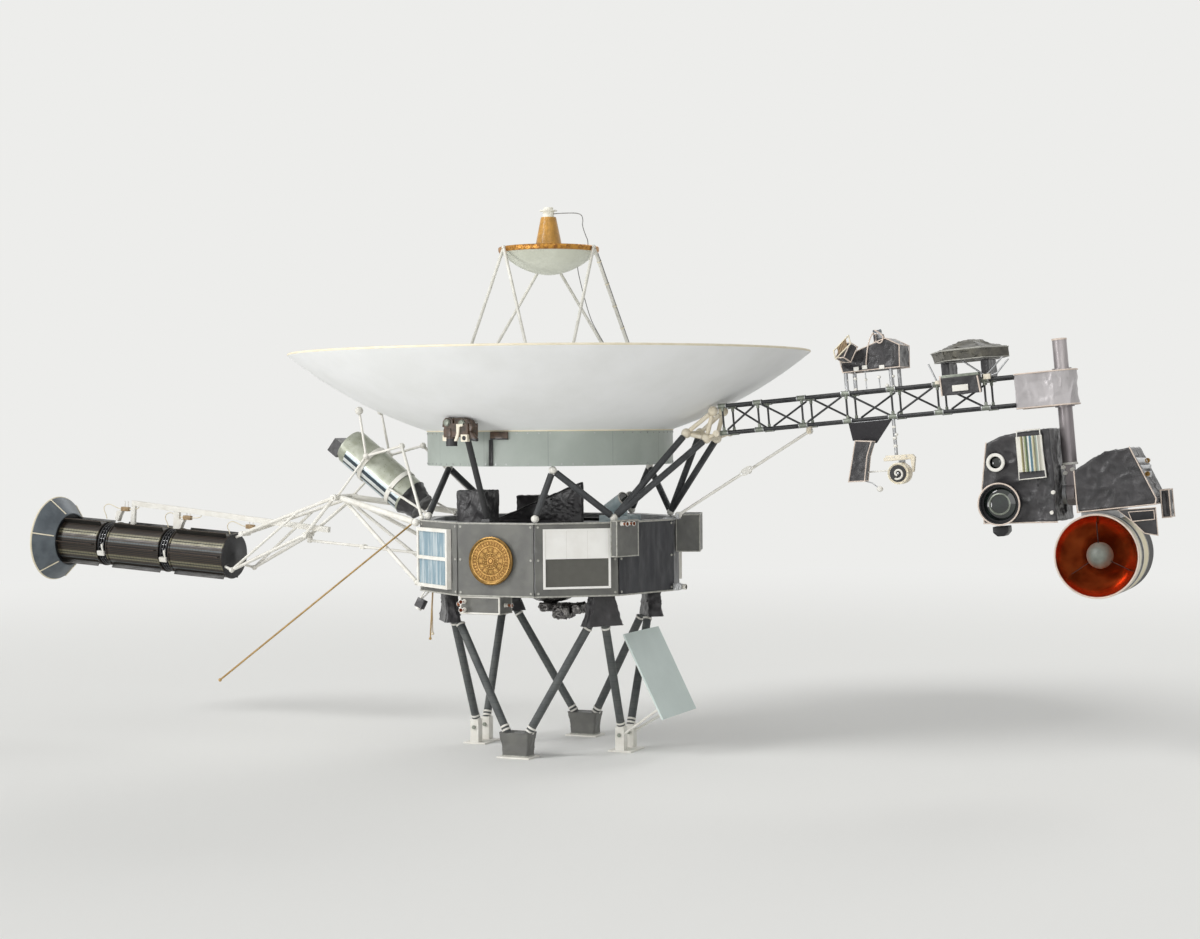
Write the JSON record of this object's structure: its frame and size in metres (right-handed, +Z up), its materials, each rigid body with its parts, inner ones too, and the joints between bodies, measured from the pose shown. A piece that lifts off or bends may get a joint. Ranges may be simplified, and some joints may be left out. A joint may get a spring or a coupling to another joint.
{
  "type": "space probe",
  "caption": "Outer-planet space probe with a large dish over a ten-sided bus, folding science and generator booms, and a turning instrument platform, on its adapter feet.",
  "frame": {"origin": "on the floor at the centre of the four feet, under the roll axis", "axes": "+X towards the science boom, -Y towards the record disc, +Z up"},
  "size_m": [8.608, 3.6598, 3.8002],
  "materials": {
    "bus_metal": "satin",
    "bay_fill": "matte",
    "grey_blanket": "satin",
    "black_blanket": "satin",
    "white_enamel": "satin",
    "polished_blade": "polished",
    "pale_plate": "satin",
    "gold_plate": "satin",
    "copper": "satin",
    "strut_wrap": "matte",
    "dish_paint": "matte",
    "sage_paint": "satin",
    "black_tube": "satin",
    "cream_casting": "satin",
    "brown_fitting": "satin",
    "subreflector_skin": "satin",
    "ochre_paint": "satin",
    "canister_metal": "polished",
    "generator_case": "satin",
    "generator_fin": "satin",
    "shroud_metal": "satin",
    "silver_cloth": "satin",
    "silver_metal": "satin",
    "instrument_blanket": "satin",
    "copper_mirror": "polished"
  },
  "bodies": {
    "bus": {"bus_frame": "bus_metal", "electronics_bays": "bay_fill", "bay_blankets": "grey_blanket", "deck_blankets": "black_blanket", "louvre_frames": "white_enamel", "louvre_blades": "polished_blade", "radiator_panel": "pale_plate", "record_disc": "gold_plate", "bus_boxes": "grey_blanket", "thrusters": "copper", "deck_boxes": "black_blanket", "star_trackers": "black_blanket", "adapter_struts": "strut_wrap", "adapter_covers": "grey_blanket", "foot_fittings": "white_enamel", "calibration_plate": "pale_plate", "dish": "dish_paint", "dish_ring": "sage_paint", "dish_truss": "black_tube", "truss_nodes": "white_enamel", "boom_root_frame": "cream_casting", "dish_fitting": "brown_fitting", "feed_horn": "white_enamel", "feed_struts": "white_enamel", "subreflector": "subreflector_skin", "low_gain_antenna": "ochre_paint", "outrigger": "white_enamel", "brace_brackets": "white_enamel", "whip_antennas": "copper", "magnetometer_canister": "canister_metal", "canister_truss": "white_enamel", "magnetometer_sensor": "grey_blanket"},
    "science_boom": {"boom_truss": "black_tube", "boom_hinge": "sage_paint", "azimuth_housing": "silver_cloth", "cosmic_ray_unit": "black_blanket", "plasma_unit": "black_blanket", "particle_unit": "black_blanket", "instrument_stands": "silver_metal"},
    "brace_lower_link": {"brace_lower": "black_tube"},
    "brace_upper_link": {"brace_upper": "black_tube"},
    "particle_detector": {"particle_head": "cream_casting"},
    "platform_azimuth": {"platform_column": "silver_metal"},
    "scan_platform": {"platform_shaft": "silver_metal", "camera_housing": "instrument_blanket", "camera_tubes": "black_tube", "camera_radiator": "pale_plate", "spectrometer_housing": "instrument_blanket", "telescope_drum": "copper_mirror", "telescope_secondary": "silver_metal"},
    "generator_boom": {"rtg_frame": "white_enamel", "generator_cases": "generator_case", "generator_fins": "generator_fin", "generator_couplings": "generator_case", "end_shroud": "shroud_metal", "cable_channel": "white_enamel"},
    "generator_brace_inner": {"rtg_brace_inner": "white_enamel"},
    "generator_brace_outer": {"rtg_brace_outer": "white_enamel"}
  },
  "joints": [
    {"name": "science_boom_fold", "type": "hinge", "parent": "bus", "child": "science_boom", "pos_m": [1.3, 0, 2.203], "axis": [0, 1, 0], "range_deg": [0, 70]},
    {"name": "brace_lower_fold", "type": "hinge", "parent": "bus", "child": "brace_lower_link", "pos_m": [0.97317, -0.017, 1.644], "axis": [0, 1, 0], "range_deg": [0, 86.31]},
    {"name": "brace_upper_fold", "type": "hinge", "parent": "science_boom", "child": "brace_upper_link", "pos_m": [1.91022, 0.017, 2.21378], "axis": [0, 1, 0], "range_deg": [-105.5, 0]},
    {"name": "particle_head_turn", "type": "hinge", "parent": "science_boom", "child": "particle_detector", "pos_m": [2.57669, -0.1, 1.93524], "axis": [0, 1, 0], "continuous": true},
    {"name": "platform_azimuth_turn", "type": "hinge", "parent": "science_boom", "child": "platform_azimuth", "pos_m": [3.61894, 0, 2.3965], "axis": [-0.0832, 0, 0.9965], "range_deg": [-180, 180]},
    {"name": "platform_elevation_turn", "type": "hinge", "parent": "platform_azimuth", "child": "scan_platform", "pos_m": [3.66842, 0, 1.80357], "axis": [0.9965, 0, 0.0832], "range_deg": [-105, 105]},
    {"name": "generator_boom_fold", "type": "hinge", "parent": "bus", "child": "generator_boom", "pos_m": [-1.68, 0, 1.752], "axis": [0, -1, 0], "range_deg": [0, 60]},
    {"name": "generator_brace_inner_fold", "type": "hinge", "parent": "bus", "child": "generator_brace_inner", "pos_m": [-0.97317, -0.017, 1.343], "axis": [0, -1, 0], "range_deg": [0, 56.26]},
    {"name": "generator_brace_outer_fold", "type": "hinge", "parent": "generator_boom", "child": "generator_brace_outer", "pos_m": [-1.989, 0.017, 1.426], "axis": [0, -1, 0], "range_deg": [-115.98, 0]}
  ],
  "couplings": [
    {"joint": "brace_lower_fold", "follows": "science_boom_fold", "ratio": 1.2258},
    {"joint": "brace_upper_fold", "follows": "science_boom_fold", "ratio": -1.5},
    {"joint": "generator_brace_inner_fold", "follows": "generator_boom_fold", "ratio": 0.92935},
    {"joint": "generator_brace_outer_fold", "follows": "generator_boom_fold", "ratio": -1.9247}
  ]
}
